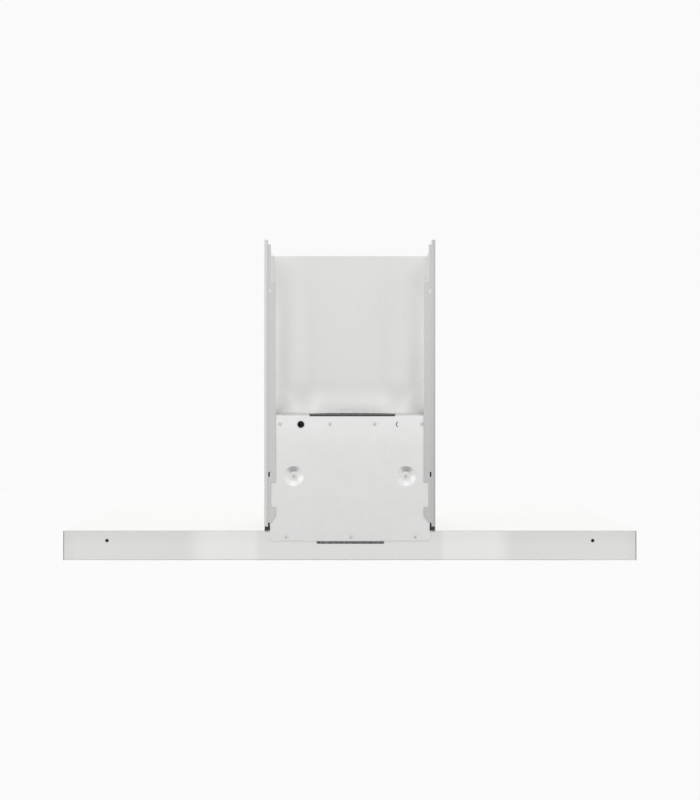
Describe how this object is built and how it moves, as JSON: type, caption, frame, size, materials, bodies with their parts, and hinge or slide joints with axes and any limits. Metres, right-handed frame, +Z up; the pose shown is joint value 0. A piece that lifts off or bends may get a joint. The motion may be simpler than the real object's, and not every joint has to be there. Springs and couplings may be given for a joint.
{
  "type": "wall-mounted chimney range hood",
  "caption": "Wall chimney range hood with a slim flat canopy, telescoping chimney covers, blower with backdraft damper, hinged grease filters and push buttons.",
  "frame": {"origin": "midway between the two wall fixing holes in the canopy's back, on the back's outer face", "axes": "+X along the wall, +Y into the wall, +Z up; the cook stands on the -Y side"},
  "size_m": [0.9, 0.5038, 0.5026],
  "materials": {
    "stainless": "fine brushed, satin",
    "zinc_sheet": "plain zinc-coated sheet",
    "screw_steel": "bright zinc",
    "black_plastic": "matt",
    "rubber": "matt",
    "white_plastic": "satin",
    "cast_aluminium": "satin",
    "filter_aluminium": "satin",
    "button_metal": "satin",
    "board": "satin",
    "lens": "frosted"
  },
  "bodies": {
    "root": {"canopy_shell": "stainless", "canopy_back": "stainless", "underframe": "stainless", "lower_chimney_cover": "stainless", "chimney_feet": "black_plastic", "blower_box": "zinc_sheet", "blower_back_panel": "zinc_sheet", "back_panel_screws": "screw_steel", "strap_screws": "screw_steel", "blower_strap": "zinc_sheet", "cable_grommet": "rubber", "scroll_wrap": "zinc_sheet", "outlet_plate": "zinc_sheet", "scroll_side_left": "zinc_sheet", "scroll_side_right": "zinc_sheet", "motor": "cast_aluminium", "motor_bracket": "zinc_sheet", "outlet_collar": "black_plastic", "damper_pin": "screw_steel", "capacitor": "cast_aluminium", "capacitor_clip": "zinc_sheet", "terminal_box": "white_plastic", "terminal_lid": "white_plastic", "lamp_bezel_left": "stainless", "lamp_can_left": "zinc_sheet", "lamp_lens_left": "lens", "lamp_bezel_right": "stainless", "lamp_can_right": "zinc_sheet", "lamp_lens_right": "lens", "control_bezel": "stainless", "button_guide": "black_plastic", "button_switches": "white_plastic", "control_board": "board"},
    "upper_cover": {"upper_chimney_cover": "stainless"},
    "wheel": {"impeller": "white_plastic", "motor_shaft": "screw_steel"},
    "rear_flap": {"damper_flap_rear": "black_plastic"},
    "front_flap": {"damper_flap_front": "black_plastic"},
    "filter_1": {"filter_1_frame": "filter_aluminium", "filter_1_mesh": "filter_aluminium"},
    "latch_1": {"filter_1_latch": "black_plastic"},
    "filter_2": {"filter_2_frame": "filter_aluminium", "filter_2_mesh": "filter_aluminium"},
    "latch_2": {"filter_2_latch": "black_plastic"},
    "filter_3": {"filter_3_frame": "filter_aluminium", "filter_3_mesh": "filter_aluminium"},
    "latch_3": {"filter_3_latch": "black_plastic"},
    "button_1": {"button_1": "button_metal"},
    "button_2": {"button_2": "button_metal"},
    "button_3": {"button_3": "button_metal"},
    "button_4": {"button_4": "button_metal"},
    "button_5": {"button_5": "button_metal"}
  },
  "joints": [
    {"name": "upper_cover_slide", "type": "slide", "parent": "root", "child": "upper_cover", "axis": [0, 0, 1], "range_m": [0, 0.38]},
    {"name": "wheel_spin", "type": "hinge", "parent": "root", "child": "wheel", "pos_m": [-0.004, -0.08447, 0.104], "axis": [1, 0, 0], "continuous": true},
    {"name": "rear_flap_swing", "type": "hinge", "parent": "root", "child": "rear_flap", "pos_m": [-0.004, -0.11847, 0.18125], "axis": [1, 0, 0], "range_deg": [0, 80]},
    {"name": "front_flap_swing", "type": "hinge", "parent": "root", "child": "front_flap", "pos_m": [-0.004, -0.11847, 0.18125], "axis": [-1, 0, 0], "range_deg": [0, 80]},
    {"name": "filter_1_hinge", "type": "hinge", "parent": "root", "child": "filter_1", "pos_m": [-0.279, -0.031, -0.0292], "axis": [1, 0, 0], "range_deg": [0, 60]},
    {"name": "latch_1_slide", "type": "slide", "parent": "filter_1", "child": "latch_1", "axis": [0, 1, 0], "range_m": [0, 0.005], "stiffness_N_per_m": 200, "springref_m": -0.002},
    {"name": "filter_2_hinge", "type": "hinge", "parent": "root", "child": "filter_2", "pos_m": [0, -0.031, -0.0292], "axis": [1, 0, 0], "range_deg": [0, 60]},
    {"name": "latch_2_slide", "type": "slide", "parent": "filter_2", "child": "latch_2", "axis": [0, 1, 0], "range_m": [0, 0.005], "stiffness_N_per_m": 200, "springref_m": -0.002},
    {"name": "filter_3_hinge", "type": "hinge", "parent": "root", "child": "filter_3", "pos_m": [0.279, -0.031, -0.0292], "axis": [1, 0, 0], "range_deg": [0, 60]},
    {"name": "latch_3_slide", "type": "slide", "parent": "filter_3", "child": "latch_3", "axis": [0, 1, 0], "range_m": [0, 0.005], "stiffness_N_per_m": 200, "springref_m": -0.002},
    {"name": "button_1_press", "type": "slide", "parent": "root", "child": "button_1", "axis": [0, 1, 0], "range_m": [0, 0.0015], "stiffness_N_per_m": 600, "springref_m": -0.001},
    {"name": "button_2_press", "type": "slide", "parent": "root", "child": "button_2", "axis": [0, 1, 0], "range_m": [0, 0.0015], "stiffness_N_per_m": 600, "springref_m": -0.001},
    {"name": "button_3_press", "type": "slide", "parent": "root", "child": "button_3", "axis": [0, 1, 0], "range_m": [0, 0.0015], "stiffness_N_per_m": 600, "springref_m": -0.001},
    {"name": "button_4_press", "type": "slide", "parent": "root", "child": "button_4", "axis": [0, 1, 0], "range_m": [0, 0.0015], "stiffness_N_per_m": 600, "springref_m": -0.001},
    {"name": "button_5_press", "type": "slide", "parent": "root", "child": "button_5", "axis": [0, 1, 0], "range_m": [0, 0.0015], "stiffness_N_per_m": 600, "springref_m": -0.001}
  ]
}
